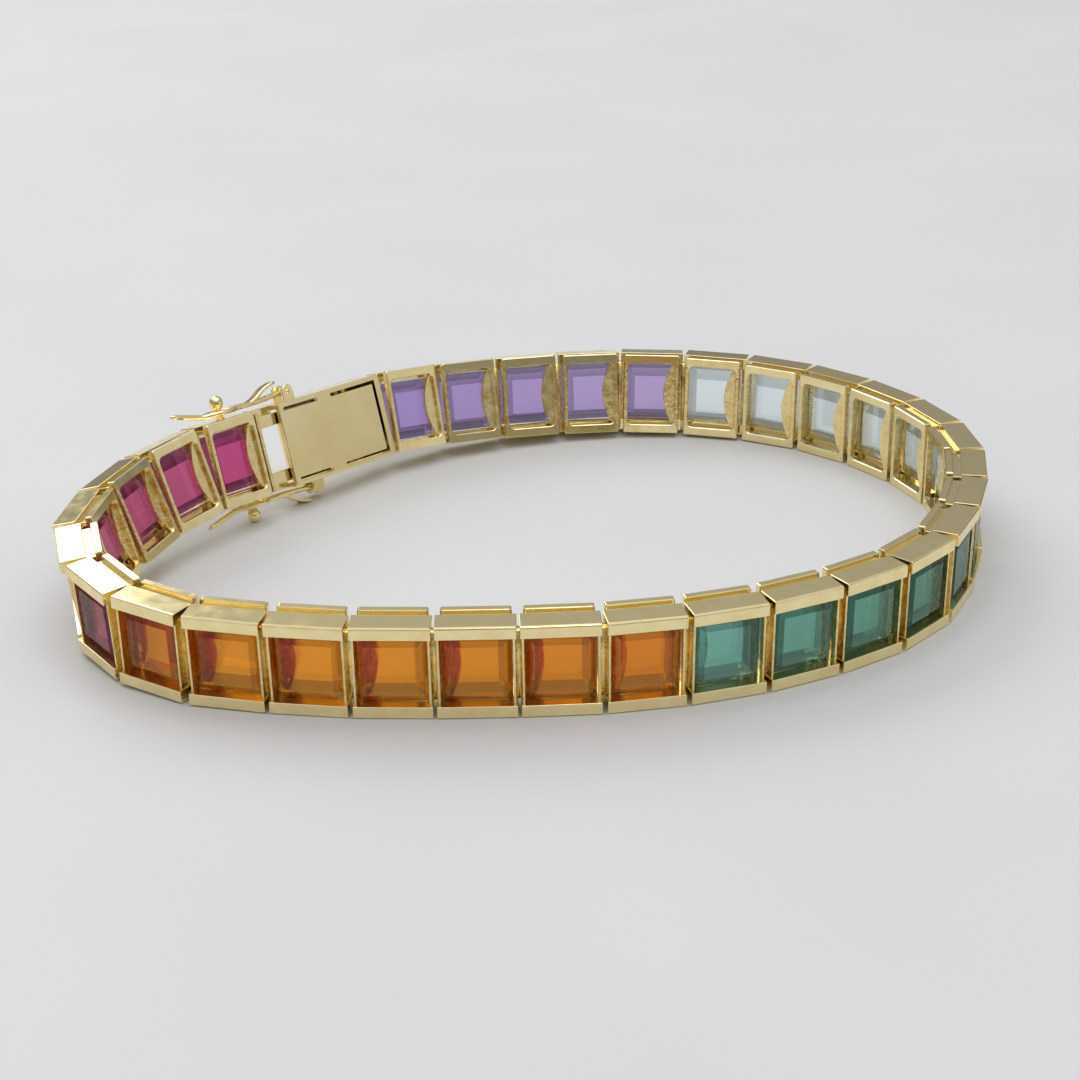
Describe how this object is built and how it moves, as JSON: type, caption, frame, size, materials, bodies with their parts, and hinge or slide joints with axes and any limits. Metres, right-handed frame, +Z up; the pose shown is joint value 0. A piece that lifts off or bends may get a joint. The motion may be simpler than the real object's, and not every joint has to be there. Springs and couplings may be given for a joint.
{
  "type": "line bracelet with box clasp",
  "caption": "Line bracelet of square step-cut coloured stones in gold channel links, closed in an oval loop by a box clasp with wire safety catches.",
  "frame": {"origin": "middle of the bracelet's box, on the floor that it stands on by its edge", "axes": "+X to the right along the loop's longer side, +Y to the back of the loop, +Z up, along the height of the links"},
  "size_m": [0.0678, 0.0536, 0.0101],
  "materials": {
    "gold": "polished pale yellow gold, satin on the clasp's inner plate",
    "pink_stone": "polished transparent stone, magenta to dusty rose",
    "orange_stone": "polished transparent stone, amber to deep orange",
    "green_stone": "polished transparent stone, teal to olive green",
    "white_stone": "polished transparent stone, near white with a trace of blue",
    "violet_stone": "polished transparent stone, pale lavender to violet"
  },
  "bodies": {
    "root": {"chain_front": "gold", "chain_back": "gold", "end_link": "gold", "clasp_box": "gold", "stone_pink_1": "pink_stone", "stone_pink_2": "pink_stone", "stone_pink_3": "pink_stone", "stone_pink_4": "pink_stone", "stone_pink_5": "pink_stone", "stone_pink_6": "pink_stone", "stone_orange_1": "orange_stone", "stone_orange_2": "orange_stone", "stone_orange_3": "orange_stone", "stone_orange_4": "orange_stone", "stone_orange_5": "orange_stone", "stone_orange_6": "orange_stone", "stone_orange_7": "orange_stone", "stone_green_1": "green_stone", "stone_green_2": "green_stone", "stone_green_3": "green_stone", "stone_green_4": "green_stone", "stone_green_5": "green_stone", "stone_green_6": "green_stone", "stone_white_1": "white_stone", "stone_white_2": "white_stone", "stone_white_3": "white_stone", "stone_white_4": "white_stone", "stone_white_5": "white_stone", "stone_white_6": "white_stone", "stone_white_7": "white_stone", "stone_violet_1": "violet_stone", "stone_violet_2": "violet_stone", "stone_violet_3": "violet_stone", "stone_violet_4": "violet_stone", "stone_violet_5": "violet_stone"},
    "catch_top": {"safety_catch_top": "gold"},
    "catch_bottom": {"safety_catch_bottom": "gold"}
  },
  "joints": [
    {"name": "catch_top_hinge", "type": "hinge", "parent": "root", "child": "catch_top", "pos_m": [-0.01993, 0.01231, 0.00871], "axis": [-0.7013, 0.6398, -0.3143], "range_deg": [0, 90]},
    {"name": "catch_bottom_hinge", "type": "hinge", "parent": "root", "child": "catch_bottom", "pos_m": [-0.0177, 0.01103, 0.00113], "axis": [0.7013, -0.6398, 0.3143], "range_deg": [0, 90]}
  ]
}
